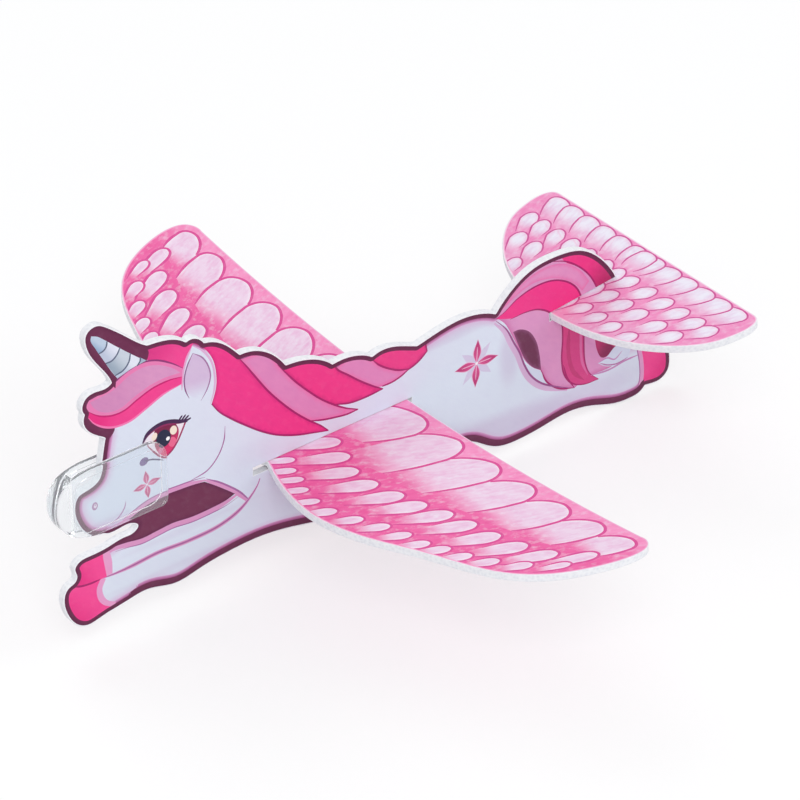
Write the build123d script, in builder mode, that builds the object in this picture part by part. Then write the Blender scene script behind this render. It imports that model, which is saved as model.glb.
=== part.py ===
"""Slot-together foam hand glider with a winged pony profile and a clear nose weight.

Four loose pieces: the profile sheet, the main wing, the tailplane and the nose weight.
+X points aft, +Y to the right wing tip, +Z up. All sizes are in millimetres.

The outlines are drawn from the wing's trailing edge at its root, on the wing's middle surface.
The last step moves the whole glider, so that its origin is the bottom centre of its box.
"""

import os
from math import cos, radians, sin

from build123d import *

# Foam sheet, shared by the profile, the wing and the tailplane
SHEET = 1.8
SLOT_GAP = 0.12  # free height above and below a wing in its slot

# Profile sheet, and the size at which the outline below is drawn
PROFILE_LENGTH, PROFILE_HEIGHT = 170.7, 79.6
DRAWN_LENGTH, DRAWN_HEIGHT = 170.7, 79.6

# Main wing
HALF_SPAN = 82.0
WING_RISE = 6.2  # how far the bowed wing's tips stand above its root
ROOT_CHORD = 38.3
TIP_TRAIL = 1.1  # how far the trailing edge is swept back at the tip
WING_SLOT_FRONT = 4.2  # free slot ahead of the wing, in which it slides to trim the flight
WING_SLOT_REAR = 1.1

# Tailplane, on a plane that rises towards the rear
TAIL_ROOT = (41.0, 6.1)  # its front at the root, on the drawn outline
TAIL_RISE_DEG = 6.0
TAIL_CHORD = 32.0
TAIL_HALF_SPAN = 36.3
TAIL_SLOT_REACH = 8.0  # how far the cut for the slot runs past the tailplane's rear edge
TAIL_SLOT_FRONT = 0.3

# Nose weight, a clip of clear plastic
MUZZLE = (-88.9, 11.0)  # the muzzle's foremost point on the drawn outline
CLIP_LENGTH, CLIP_HEIGHT = 28.2, 17.2
CLIP_NOSE = 4.4  # solid plastic ahead of the slot between the cheeks
CLIP_SEAT_GAP = 0.3  # between the muzzle and the end of that slot
CLIP_WALL = 1.1
CLIP_GAP = 0.06  # between each cheek and the foam
CLIP_TOP_CORNER, CLIP_BOTTOM_CORNER = 5.0, 2.0
CLIP_EDGE = 0.4  # rounding of the cheeks' outer edges
CLIP_PANEL_DEPTH, CLIP_RIM = 0.25, 1.7  # each cheek's sunk panel and the rim round it

# The profile's outline, clockwise from the foot of the horn.
# Each run is one smooth curve, and runs meet at the outline's corners.
PROFILE = [
    # horn
    [(-78.1, 37.8), (-81.0, 42.9), (-83.9, 48.8), (-83.6, 52.0), (-81.2, 53.1), (-78.2, 51.6)]
    + [(-73.5, 47.5), (-68.6, 43.4)],
    # mane, one run for each lock
    [(-68.6, 43.4), (-65.5, 43.1), (-62.0, 42.2), (-58.9, 40.2)],
    [(-58.9, 40.2), (-57.2, 40.4), (-55.5, 39.6), (-54.2, 38.1)],
    [(-54.2, 38.1), (-51.5, 37.3), (-48.3, 35.0), (-45.2, 31.5)],
    [(-45.2, 31.5), (-41.5, 31.0), (-37.0, 28.4), (-33.2, 23.9)],
    [(-33.2, 23.9), (-29.0, 23.4), (-24.3, 21.7), (-20.7, 19.0)],
    [(-20.7, 19.0), (-16.8, 19.1), (-13.0, 18.2), (-9.9, 16.5)],
    [(-9.9, 16.5), (-6.0, 17.1), (-1.5, 15.9), (2.6, 14.2)],
    # back
    [(2.6, 14.2), (8.0, 15.4), (14.5, 16.2), (20.5, 15.4), (24.8, 13.6)],
    # tail hair, over the tailplane and down behind it
    [(24.8, 13.6), (29.0, 17.8), (35.0, 21.1), (42.0, 21.9), (49.5, 20.6), (55.5, 16.2)]
    + [(60.6, 9.0), (62.7, 3.0), (63.0, -3.0), (62.2, -8.0)],
    # hind hoof
    [(62.2, -8.0), (65.6, -10.4), (70.0, -11.2), (74.4, -12.6), (77.2, -16.0), (78.1, -20.3)]
    + [(77.7, -23.2), (75.6, -25.0), (72.8, -25.2), (70.5, -24.8)],
    # hind leg and belly
    [(70.5, -24.8), (68.8, -26.1), (65.8, -26.5), (61.5, -26.1), (54.0, -23.7), (47.0, -22.5)]
    + [(39.0, -23.3), (32.0, -23.8), (26.5, -23.2), (22.6, -21.3), (18.6, -18.6), (12.0, -17.2)]
    + [(0.0, -18.9), (-12.0, -21.2), (-25.0, -20.9), (-33.0, -19.1), (-42.0, -17.9)]
    + [(-50.0, -18.1), (-57.0, -19.0), (-64.0, -20.0), (-71.5, -18.3), (-75.5, -18.7)]
    + [(-80.6, -19.5)],
    # fore hoof
    [(-80.6, -19.5), (-84.0, -20.2), (-87.0, -20.5), (-89.8, -18.9), (-91.7, -15.8)]
    + [(-92.6, -11.8), (-92.0, -9.3), (-90.0, -8.0)],
    # second fore hoof and the gap under the jaw
    [(-90.0, -8.0), (-89.1, -6.4), (-89.5, -4.6), (-88.4, -3.1), (-85.4, -2.6), (-80.5, -2.3)]
    + [(-76.6, -1.7), (-74.0, -1.5), (-73.1, -0.6), (-74.0, 0.3), (-77.5, 0.6), (-81.6, 1.1)],
    # jaw, muzzle and face
    [(-81.6, 1.1), (-85.6, 2.8), (-88.2, 6.8), (-88.9, 11.0), (-87.8, 13.7), (-84.8, 14.5)]
    + [(-82.4, 15.8), (-81.6, 18.4), (-81.0, 21.6), (-80.3, 24.9)],
    # forelock
    [(-80.3, 24.9), (-82.5, 26.4), (-84.9, 29.0), (-85.5, 31.2), (-85.1, 32.7)],
    [(-85.1, 32.7), (-85.6, 34.9), (-84.4, 36.8), (-82.0, 37.4), (-80.0, 37.2), (-78.1, 37.8)],
]

# The wing's leading edge from root to tip, as (share of the root chord ahead of the trailing
# edge's root, share of the half span)
WING_LEADING = [(1.0, 0.0), (1.078, 0.104), (1.125, 0.207), (1.131, 0.293), (1.099, 0.384)]
WING_LEADING += [(1.031, 0.482), (0.937, 0.585), (0.859, 0.689), (0.786, 0.784), (0.702, 0.854)]
WING_LEADING += [(0.590, 0.910), (0.457, 0.951), (0.321, 0.979), (0.204, 0.995), (0.099, 1.0)]
WING_LEADING += [(0.016, 0.990), (-0.023, 0.968)]
WING_TIP_STATION = 0.939  # where the tip's round ends in the trailing edge

# The tailplane's, as (share of its chord behind its root's front, share of its half span)
TAIL_LEADING = [(0.0, 0.0), (0.0125, 0.124), (0.041, 0.284), (0.094, 0.441), (0.178, 0.606)]
TAIL_LEADING += [(0.300, 0.760), (0.447, 0.882), (0.600, 0.959), (0.756, 0.9945), (0.894, 1.0)]
TAIL_LEADING += [(0.975, 0.972), (1.0, 0.915)]

bow_radius = HALF_SPAN**2 / (2 * WING_RISE)
slot_height = SHEET + 2 * SLOT_GAP
tail_direction = (cos(radians(TAIL_RISE_DEG)), 0, sin(radians(TAIL_RISE_DEG)))
tail_normal = (-sin(radians(TAIL_RISE_DEG)), 0, cos(radians(TAIL_RISE_DEG)))


def on_profile(x, z):
    """A point of the drawn outline, at the profile's own length and height."""
    return (x * PROFILE_LENGTH / DRAWN_LENGTH, z * PROFILE_HEIGHT / DRAWN_HEIGHT)


tail_root_x, tail_root_z = on_profile(*TAIL_ROOT)
tail_plane = Plane(
    origin=(tail_root_x, 0, tail_root_z), x_dir=tail_direction, z_dir=tail_normal
)


# Profile sheet, with the closed wing slot and the tail slot that is open at the rear
with BuildPart() as body:
    with BuildSketch(Plane.XZ):
        with BuildLine():
            for run in PROFILE:
                Spline(*[on_profile(x, z) for x, z in run])
        make_face()
        slot_front = -ROOT_CHORD - WING_SLOT_FRONT
        with Locations((slot_front, 0)):
            Rectangle(
                WING_SLOT_REAR - slot_front,
                slot_height,
                align=(Align.MIN, Align.CENTER),
                mode=Mode.SUBTRACT,
            )
        with Locations((tail_root_x, tail_root_z)):
            with Locations(Location((0, 0, 0), (0, 0, TAIL_RISE_DEG))):
                with Locations((-TAIL_SLOT_FRONT, 0)):
                    Rectangle(
                        TAIL_CHORD + TAIL_SLOT_REACH,
                        slot_height,
                        align=(Align.MIN, Align.CENTER),
                        mode=Mode.SUBTRACT,
                    )
    extrude(amount=SHEET / 2, both=True)


# Main wing: a bowed band of foam, cut to the planform
def on_bow(radius, station):
    """A point of the wing's front view, on the arc of that radius about the bow's centre."""
    return (station, bow_radius - (radius**2 - station**2) ** 0.5)


band_half = HALF_SPAN + 2
upper_radius = bow_radius - SHEET / 2
lower_radius = bow_radius + SHEET / 2

with BuildPart() as main_wing:
    with BuildSketch(Plane.YZ):
        with BuildLine():
            upper = ThreePointArc(
                on_bow(upper_radius, -band_half),
                on_bow(upper_radius, 0),
                on_bow(upper_radius, band_half),
            )
            lower = ThreePointArc(
                on_bow(lower_radius, -band_half),
                on_bow(lower_radius, 0),
                on_bow(lower_radius, band_half),
            )
            Line(upper @ 0, lower @ 0)
            Line(upper @ 1, lower @ 1)
        make_face()
    extrude(amount=2 * ROOT_CHORD, both=True)
    with BuildSketch(Plane.XY.offset(-SHEET)):
        with BuildLine():
            leading = Spline(
                *[(-ahead * ROOT_CHORD, out * HALF_SPAN) for ahead, out in WING_LEADING],
                (TIP_TRAIL, WING_TIP_STATION * HALF_SPAN),
            )
            trailing = Line(leading @ 1, (0, 0))
            mirror(leading, about=Plane.XZ)
            mirror(trailing, about=Plane.XZ)
        make_face()
    extrude(amount=WING_RISE + 3 * SHEET, mode=Mode.INTERSECT)


# Tailplane: a flat sheet
with BuildPart() as tailplane:
    with BuildSketch(tail_plane):
        with BuildLine():
            tail_leading = Spline(
                *[(behind * TAIL_CHORD, out * TAIL_HALF_SPAN) for behind, out in TAIL_LEADING]
            )
            tail_trailing = Line(tail_leading @ 1, (TAIL_CHORD, 0))
            mirror(tail_leading, about=Plane.XZ)
            mirror(tail_trailing, about=Plane.XZ)
        make_face()
    extrude(amount=SHEET / 2, both=True)


# Nose weight: two cheeks joined by a solid rounded front
muzzle_x, clip_middle = on_profile(*MUZZLE)
clip_seat = muzzle_x - CLIP_SEAT_GAP
clip_front = clip_seat - CLIP_NOSE
clip_rear = clip_front + CLIP_LENGTH
clip_top = clip_middle + CLIP_HEIGHT / 2
clip_bottom = clip_middle - CLIP_HEIGHT / 2
clip_half = SHEET / 2 + CLIP_GAP + CLIP_WALL
panel_length = clip_rear - CLIP_RIM - clip_seat
panel_height = CLIP_HEIGHT - 2 * CLIP_RIM

with BuildPart() as nose_weight:
    with BuildSketch(Plane.XZ) as clip_side:
        with BuildLine():
            front = Spline(
                (clip_front + 11.1, clip_bottom),
                (clip_front + 7.4, clip_bottom + 0.5),
                (clip_front + 3.9, clip_bottom + 2.0),
                (clip_front + 1.2, clip_bottom + 5.0),
                (clip_front, clip_middle + 1.0),
                (clip_front + 1.0, clip_top - 3.3),
                (clip_front + 3.7, clip_top - 1.0),
                (clip_front + 7.3, clip_top - 0.15),
                (clip_front + 10.6, clip_top),
                tangents=[(-1, 0), (1, 0)],
            )
            Polyline(front @ 1, (clip_rear, clip_top), (clip_rear, clip_bottom), front @ 0)
        make_face()
        rear_corners = clip_side.vertices().sort_by(Axis.X)[-2:].sort_by(Axis.Y)
        fillet(rear_corners[0], CLIP_BOTTOM_CORNER)
        top_corners = clip_side.vertices().sort_by(Axis.Y)[-2:].sort_by(Axis.X)
        fillet(top_corners[-1], CLIP_TOP_CORNER)
    extrude(amount=clip_half, both=True)
    fillet(faces().filter_by(Axis.Y).edges(), CLIP_EDGE)
    for side in (-1, 1):
        with BuildSketch(Plane.XZ.offset(-side * clip_half)):
            with Locations((clip_seat + panel_length / 2, clip_middle)):
                RectangleRounded(panel_length, panel_height, CLIP_TOP_CORNER - CLIP_RIM)
        extrude(amount=side * CLIP_PANEL_DEPTH, mode=Mode.SUBTRACT)
    with Locations((clip_seat, 0, clip_middle)):
        Box(
            2 * CLIP_LENGTH,
            SHEET + 2 * CLIP_GAP,
            2 * CLIP_HEIGHT,
            align=(Align.MIN, Align.CENTER, Align.CENTER),
            mode=Mode.SUBTRACT,
        )


# Move the glider so that its origin is the bottom centre of its box, and write the pieces
pieces = {
    "body": body,
    "main_wing": main_wing,
    "tailplane": tailplane,
    "nose_weight": nose_weight,
}
boxes = [piece.part.bounding_box() for piece in pieces.values()]
nose_end = min(box.min.X for box in boxes)
tail_end = max(box.max.X for box in boxes)
lowest = min(box.min.Z for box in boxes)
datum = Location((-(nose_end + tail_end) / 2, 0, -lowest))

os.makedirs("parts", exist_ok=True)
for name, piece in pieces.items():
    placed = piece.part.moved(datum)
    placed.label = name
    export_step(placed, f"parts/{name}.step")
print("datum", datum.position)
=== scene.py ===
"""Looks of a slot-together foam hand glider: printed foam sheets and a clear plastic nose weight.

Every print is drawn in millimetres: the profile's and the wing's from the wing's trailing edge at
its root, and the tailplane's from its own front edge at the root. The first number runs towards the
tail. The second one runs up on the profile sheet, and out from the middle on the wing and the
tailplane, whose two halves carry the same print.
"""

import math

import bpy
import numpy as np
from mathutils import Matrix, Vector, geometry


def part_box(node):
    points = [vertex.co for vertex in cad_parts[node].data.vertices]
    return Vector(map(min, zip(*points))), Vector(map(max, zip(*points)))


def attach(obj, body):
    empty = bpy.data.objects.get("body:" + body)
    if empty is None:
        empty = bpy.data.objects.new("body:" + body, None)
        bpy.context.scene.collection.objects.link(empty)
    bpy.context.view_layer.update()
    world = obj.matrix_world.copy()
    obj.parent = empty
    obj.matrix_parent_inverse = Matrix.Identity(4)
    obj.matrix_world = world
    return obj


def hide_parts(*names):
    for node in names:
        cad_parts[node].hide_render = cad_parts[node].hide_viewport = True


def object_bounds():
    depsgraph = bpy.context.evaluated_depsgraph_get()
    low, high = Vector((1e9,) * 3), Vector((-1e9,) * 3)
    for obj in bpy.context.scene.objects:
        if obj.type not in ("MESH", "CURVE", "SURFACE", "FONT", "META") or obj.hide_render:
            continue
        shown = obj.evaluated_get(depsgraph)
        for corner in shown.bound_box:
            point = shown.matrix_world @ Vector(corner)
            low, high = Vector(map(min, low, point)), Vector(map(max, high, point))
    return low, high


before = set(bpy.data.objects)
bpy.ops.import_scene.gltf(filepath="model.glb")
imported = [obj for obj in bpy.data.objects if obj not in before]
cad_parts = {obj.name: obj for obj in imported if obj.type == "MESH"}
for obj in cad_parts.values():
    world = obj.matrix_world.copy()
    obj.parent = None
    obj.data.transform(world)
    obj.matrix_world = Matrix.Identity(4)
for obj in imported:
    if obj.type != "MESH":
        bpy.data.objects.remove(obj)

cad_low, cad_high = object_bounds()

MM = 0.001

# Where the drawing's own origin lies, from two of its outermost points
DRAWN_NOSE = -92.6
DRAWN_LOWEST = -26.5
body_low, body_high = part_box("body")
shift_x = body_low.x / MM - DRAWN_NOSE
shift_z = body_low.z / MM - DRAWN_LOWEST
SHEET = (body_high.y - body_low.y) / MM

EDGE_ROUND = 0.16  # rounding of the foam's cut edges
CURVE_PITCH = 0.35  # distance between the points of a drawn curve
FILL_PITCH = 0.85  # distance between the points inside a sheet's face
ROW_SHARE = 0.866  # distance between their rows, as a share of it
LINE_CELL = 0.45  # cells of this size that a line passes through get no such point
CLEAR_OF_RIM = 0.6  # nor does the strip along the outline
FIELD_PITCH = 0.4  # grid on which lines parallel to an outline are found
UNDER_BAND = 0.6  # share of the outermost band's reach at which the lines under it stop
SAME_POINT = 1e-4  # points closer than this are joined
LEAST_SPAN = 1e-6  # stands in for the distance between two equal points of a curve
AT_ONCE = 2000  # points whose distances are found together
SHARPEST = 0.55  # keeps the corners of a moved outline from running far out
FACING = 0.7  # cosine of the greatest slope at which a triangle belongs to a face
TINY = 1e-9  # stands in for a length of zero where something is divided by it
TINY_AREA = 1e-12  # the same for an area or a squared length


# ---------------------------------------------------------------- curves and outlines


def smooth(points, closed=False):
    """A curve through the points, as points about CURVE_PITCH apart."""
    given = np.array(points, float)
    if closed:
        ends = np.vstack([given[-1], given, given[0], given[1]])
    else:
        ends = np.vstack([2 * given[0] - given[1], given, 2 * given[-1] - given[-2]])
    made = []
    for a, b, c, d in zip(ends, ends[1:], ends[2:], ends[3:]):
        steps = max(2, math.ceil(np.linalg.norm(c - b) / CURVE_PITCH))
        spans = [max(np.linalg.norm(q - p), LEAST_SPAN) ** 0.5 for p, q in ((a, b), (b, c), (c, d))]
        ta, tb = 0.0, spans[0]
        tc = tb + spans[1]
        td = tc + spans[2]
        t = (tb + (tc - tb) * np.arange(steps) / steps)[:, None]
        ab = (tb - t) / (tb - ta) * a + (t - ta) / (tb - ta) * b
        bc = (tc - t) / (tc - tb) * b + (t - tb) / (tc - tb) * c
        cd = (td - t) / (td - tc) * c + (t - tc) / (td - tc) * d
        abc = (tc - t) / (tc - ta) * ab + (t - ta) / (tc - ta) * bc
        bcd = (td - t) / (td - tb) * bc + (t - tb) / (td - tb) * cd
        made.append((tc - t) / (tc - tb) * abc + (t - tb) / (tc - tb) * bcd)
    if not closed:
        made.append(given[-1:])
    return np.vstack(made)


def shape(*runs):
    """A closed outline of smooth runs that meet at corners. Each starts where the last one ends."""
    starts = [runs[-1][-1]] + [run[-1] for run in runs]
    return np.vstack([smooth([start, *run])[:-1] for start, run in zip(starts, runs)])


def stroke(points, width, start=0.25, end=0.25, closed=False):
    """A pen line along a smooth curve, as an outline. Its ends narrow to a share of its width."""
    line = smooth(points, closed)
    steps = np.linalg.norm(np.diff(line, axis=0), axis=1)
    along = np.concatenate([[0], np.cumsum(steps)]) / max(steps.sum(), TINY)
    half = width / 2 * np.interp(along, [0, 0.2, 0.8, 1], [start, 1, 1, end])
    heading = np.gradient(line, axis=0)
    heading /= np.linalg.norm(heading, axis=1)[:, None]
    across = np.stack([-heading[:, 1], heading[:, 0]], 1) * half[:, None]
    return np.vstack([line + across, (line - across)[::-1]])


def ellipse(centre, half_width, half_height, turn=0):
    """An outline of an ellipse, turned by that many degrees."""
    count = max(10, math.ceil(2 * math.pi * max(half_width, half_height) / CURVE_PITCH))
    angle = np.arange(count) * 2 * math.pi / count
    x, y = half_width * np.cos(angle), half_height * np.sin(angle)
    c, s = math.cos(math.radians(turn)), math.sin(math.radians(turn))
    return np.stack([centre[0] + c * x - s * y, centre[1] + s * x + c * y], 1)


def inside(outline, points):
    """Which points lie inside a closed outline, by its winding number."""
    low, high = outline.min(0), outline.max(0)
    near = np.flatnonzero(((points > low) & (points < high)).all(1))
    x, y = points[near].T
    turns = np.zeros(len(near), int)
    for (x0, y0), (x1, y1) in zip(outline, np.roll(outline, -1, axis=0)):
        side = (x1 - x0) * (y - y0) - (x - x0) * (y1 - y0)
        turns += (y0 <= y) & (y1 > y) & (side > 0)
        turns -= (y0 > y) & (y1 <= y) & (side < 0)
    found = np.zeros(len(points), bool)
    found[near] = turns != 0
    return found


def distance(points, outline):
    """How far each point is from a closed outline."""
    start = outline
    run = np.roll(outline, -1, axis=0) - start
    length = np.maximum((run**2).sum(1), TINY_AREA)
    found = np.empty(len(points))
    for first in range(0, len(points), AT_ONCE):
        part = points[first : first + AT_ONCE, None] - start
        share = np.clip((part * run).sum(2) / length, 0, 1)
        gap = part - share[:, :, None] * run
        found[first : first + AT_ONCE] = np.sqrt((gap**2).sum(2).min(1))
    return found


def level_lines(field, low, level):
    """Short lines, one or two to a grid cell, along which a field has that level."""
    rows, columns = np.mgrid[0 : field.shape[0] - 1, 0 : field.shape[1] - 1]
    rows, columns = rows.ravel(), columns.ravel()
    corners = [(0, 0), (0, 1), (1, 1), (1, 0)]
    value = [field[rows + r, columns + c] - level for r, c in corners]
    crossing, place = [], []
    for k in range(4):
        r0, c0 = corners[k]
        r1, c1 = corners[(k + 1) % 4]
        v0, v1 = value[k], value[(k + 1) % 4]
        crossing.append((v0 > 0) != (v1 > 0))
        gap = np.where(v1 == v0, 1, v0 - v1)
        share = np.clip(v0 / gap, 0, 1)
        x = columns + c0 + share * (c1 - c0)
        y = rows + r0 + share * (r1 - r0)
        place.append(low + FIELD_PITCH * np.stack([x, y], 1))
    count = sum(c.astype(int) for c in crossing)
    lines = []
    for i in range(4):
        for j in range(i + 1, 4):
            pair = crossing[i] & crossing[j] & (count == 2)
            lines.append(np.stack([place[i][pair], place[j][pair]], 1))
    for i, j in ((0, 1), (2, 3)):
        lines.append(np.stack([place[i][count == 4], place[j][count == 4]], 1))
    return np.vstack(lines)


# ---------------------------------------------------------------- inks


def rgb(code):
    """A colour written as in a paint program, as linear red, green and blue."""
    parts = np.array([int(code[k : k + 2], 16) for k in (1, 3, 5)]) / 255
    return np.where(parts <= 0.04045, parts / 12.92, ((parts + 0.055) / 1.055) ** 2.4)


def ease(value):
    """0 to 1, starting and ending gently."""
    value = np.clip(value, 0, 1)
    return value * value * (3 - 2 * value)


def blend(first, second, share):
    """A colour, or a row of colours, moved towards another by each of the shares."""
    return first + (second - first) * np.asarray(share)[:, None]


def plain(code):
    """One colour."""
    return lambda at, deep: np.broadcast_to(rgb(code), (len(at), 3))


def fade(first, second, start, end):
    """From one colour at start to another at end."""
    begin, run = np.array(start, float), np.subtract(end, start)

    def ink(at, deep):
        return blend(rgb(first), rgb(second), ease((at - begin) @ run / (run @ run)))

    return ink


def by_depth(first, second, near, far):
    """From one colour to another with the distance from the sheet's outline."""
    return lambda at, deep: blend(rgb(first), rgb(second), ease((deep - near) / (far - near)))


def rimmed(rim, middle, outline, reach):
    """One colour along a shape's own outline, and another inside it."""

    def ink(at, deep):
        return blend(rgb(rim), rgb(middle), ease(distance(at, outline) / reach))

    return ink


class Artwork:
    """Layers of ink on a sheet, each over the ones before it."""

    def __init__(self, ground, wash):
        self.layers = [(None, 0, ground, wash)]

    def fill(self, outline, ink, wash=0.3):
        """A closed shape. wash is how strongly the ink's tone wanders."""
        self.layers.append((outline, 0, ink, wash))

    def line(self, points, width, code, wash=0.2, **ends):
        """A pen line of one colour."""
        self.layers.append((stroke(points, width, **ends), 0, plain(code), wash))

    def band(self, reach, ink, wash=0.2, within=None):
        """All that lies within reach of the sheet's outline, or only the part within a shape."""
        self.layers.append((within, reach, ink, wash))


# ---------------------------------------------------------------- sheets


def face_loops(node, normal, flatten):
    """The closed outlines of a CAD sheet's face that looks along normal, the longest first."""
    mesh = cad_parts[node].data
    mesh.calc_loop_triangles()
    places = np.empty(len(mesh.vertices) * 3)
    mesh.vertices.foreach_get("co", places)
    places = places.reshape(-1, 3) / MM
    corners = np.empty(len(mesh.loop_triangles) * 3, int)
    mesh.loop_triangles.foreach_get("vertices", corners)
    _, first, same = np.unique(
        np.round(places, 4), axis=0, return_index=True, return_inverse=True
    )
    places = places[first]
    triangles = same.ravel()[corners].reshape(-1, 3)
    a, b, c = (places[triangles[:, k]] for k in range(3))
    facing = np.cross(b - a, c - a)
    size = np.maximum(np.linalg.norm(facing, axis=1), TINY_AREA)
    triangles = triangles[facing @ np.array(normal) / size > FACING]
    sides = {(t[k], t[(k + 1) % 3]) for t in triangles.tolist() for k in range(3)}
    following = {p: q for p, q in sides if (q, p) not in sides}
    loops = []
    while following:
        start, here = following.popitem()
        loop = [start]
        while here != start:
            loop.append(here)
            here = following.pop(here)
        loops.append(flatten(places[loop]))
    return sorted(loops, key=lambda loop: -len(loop))


def outward(loop):
    """For each point of a loop, the step that moves both its sides outwards by one."""
    ahead = np.roll(loop, -1, axis=0) - loop
    ahead /= np.maximum(np.linalg.norm(ahead, axis=1), TINY)[:, None]
    right = np.stack([ahead[:, 1], -ahead[:, 0]], 1)
    both = right + np.roll(right, 1, axis=0)
    both /= np.maximum(np.linalg.norm(both, axis=1), TINY)[:, None]
    return both / np.maximum((both * right).sum(1), SHARPEST)[:, None]


def clipped(outline, depth_of, least):
    """The sides of a closed outline that lie deeper in the sheet than least."""
    start, end = outline, np.roll(outline, -1, axis=0)
    d0 = depth_of(start)
    d1 = np.roll(d0, -1)
    keep = (d0 > least) | (d1 > least)
    start, end, d0, d1 = start[keep], end[keep], d0[keep], d1[keep]
    cut = np.clip((least - d0) / np.where(d0 == d1, 1, d1 - d0), 0, 1)[:, None]
    crossing = start + cut * (end - start)
    begin = np.where((d0 > least)[:, None], start, crossing)
    stop = np.where((d1 > least)[:, None], end, crossing)
    return np.stack([begin, stop], 1)


def drawn_lines(art, depth_of, low, high, folded):
    """All the lines of a drawing, which no triangle may cross."""
    across, up = (np.arange(low[k], high[k], FIELD_PITCH) for k in range(2))
    grid = np.stack(np.meshgrid(across, up), -1).reshape(-1, 2)
    field = depth_of(grid).reshape(len(up), len(across))
    reaches = sorted({reach for _, reach, _, _ in art.layers if reach})
    lines = [level_lines(field, low, reach) for reach in reaches]
    for outline, reach, _, _ in art.layers:
        if outline is not None and not reach:
            found = clipped(outline, depth_of, UNDER_BAND * reaches[0])
            lines.append(found)
            if folded:
                lines.append(found * (1, -1))
    if folded:
        lines.append(np.array([[[low[0], 0], [high[0], 0]]]))
    return np.round(np.vstack(lines), 5) + 0.0  # so that a point on the middle line is there once


def filling(lines, depth_of, low, high, folded):
    """Points inside the face and away from its lines, on a triangular grid."""
    made = []
    for k, y in enumerate(np.arange(low[1], high[1], FILL_PITCH * ROW_SHARE)):
        x = np.arange(low[0] + (k % 2) * FILL_PITCH / 2, high[0], FILL_PITCH)
        made.append(np.stack([x, np.full(len(x), y)], 1))
    spread = np.vstack(made)
    taken = {tuple(p) for p in np.floor(lines.reshape(-1, 2) / LINE_CELL).astype(int)}
    cells = np.floor(spread / LINE_CELL).astype(int)
    spread = spread[np.array([tuple(c) not in taken for c in cells])]
    spread = spread[depth_of(spread) > CLEAR_OF_RIM]
    if not folded:
        return spread
    x = np.arange(low[0], high[0], FILL_PITCH / 2)[1:-1]
    return np.vstack([np.stack([x, 0 * x], 1), spread])


def face_triangles(insets, lines, spread):
    """A face's points and triangles, with every line along sides of triangles."""
    points = np.vstack([*insets, lines.reshape(-1, 2), spread])
    edges, first = [], 0
    for loop in insets:
        count = len(loop)
        edges += [(first + k, first + (k + 1) % count) for k in range(count)]
        first += count
    edges += [(first + 2 * k, first + 2 * k + 1) for k in range(len(lines))]
    made = geometry.delaunay_2d_cdt([Vector(p) for p in points], edges, [], 0, SAME_POINT, False)
    flat = np.array([tuple(v) for v in made[0]])
    triangles = np.array(made[2])
    middles = flat[triangles].mean(1)
    filled = inside(insets[0], middles)
    for hole in insets[1:]:
        filled &= ~inside(hole, middles)
    used, triangles = np.unique(triangles[filled], return_inverse=True)
    return flat[used], triangles.reshape(-1, 3)


def painted(art, flat, triangles, depth_of, folded):
    """Ink and wash at each triangle's corners, and where on the drawing each point lies.

    They come from the topmost layer over the triangle's middle.
    """
    depths = depth_of(flat)
    middles = flat[triangles].mean(1)
    middle_depths = depth_of(middles)
    if folded:
        middles = np.stack([middles[:, 0], abs(middles[:, 1])], 1)
        flat = np.stack([flat[:, 0], abs(flat[:, 1])], 1)
    top = np.zeros(len(triangles), int)
    for k, (outline, reach, _, _) in enumerate(art.layers[1:], 1):
        covered = middle_depths < reach if reach else np.ones(len(top), bool)
        if outline is not None:
            covered &= inside(outline, middles)
        top[covered] = k
    colours = np.empty((len(triangles), 3, 3))
    washes = np.empty((len(triangles), 3))
    for k, (_, _, ink, wash) in enumerate(art.layers):
        mine = np.flatnonzero(top == k)
        if len(mine):
            at = triangles[mine].ravel()
            colours[mine] = ink(flat[at], depths[at]).reshape(-1, 3, 3)
            washes[mine] = wash
    return colours, washes, flat


def sheet_edge(flat, triangles, insets, loops):
    """The sides at a face's edge, their points, and where on the true outline each point ends."""
    sides = np.vstack([triangles[:, [k, (k + 1) % 3]] for k in range(3)])
    codes = sides[:, 0] * len(flat) + sides[:, 1]
    reverse = sides[:, 1] * len(flat) + sides[:, 0]
    rim = sides[~np.isin(codes, reverse)]
    at_rim = np.unique(rim)
    inner, outer = np.vstack(insets), np.vstack(loops)
    run = np.vstack([np.roll(loop, -1, axis=0) for loop in insets]) - inner
    outer_run = np.vstack([np.roll(loop, -1, axis=0) for loop in loops]) - outer
    part = flat[at_rim][:, None] - inner
    share = np.clip((part * run).sum(2) / np.maximum((run**2).sum(1), TINY_AREA), 0, 1)
    nearest = ((part - share[:, :, None] * run) ** 2).sum(2).argmin(1)
    chosen = share[np.arange(len(nearest)), nearest][:, None]
    return rim, at_rim, outer[nearest] + chosen * outer_run[nearest]


def edge_rings(place, start, edge):
    """Places and normals of four rings of points round the cut edge, from upper face to lower."""
    away = edge - start
    away /= np.maximum(np.linalg.norm(away, axis=1), TINY)[:, None]
    bend = math.sqrt(0.5)
    corner = (1 - bend) * EDGE_ROUND
    step = 0.01
    for out, depth, lean in (
        (bend, corner, bend),
        (1, EDGE_ROUND, 0),
        (1, SHEET - EDGE_ROUND, 0),
        (bend, SHEET - corner, -bend),
    ):
        ring = start + out * (edge - start)
        at, up = place(ring, depth)
        beyond, _ = place(ring + step * away, depth)
        tilt = up * lean + (beyond - at) / step * math.sqrt(1 - lean**2)
        yield at, tilt / np.linalg.norm(tilt, axis=1)[:, None]


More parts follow.
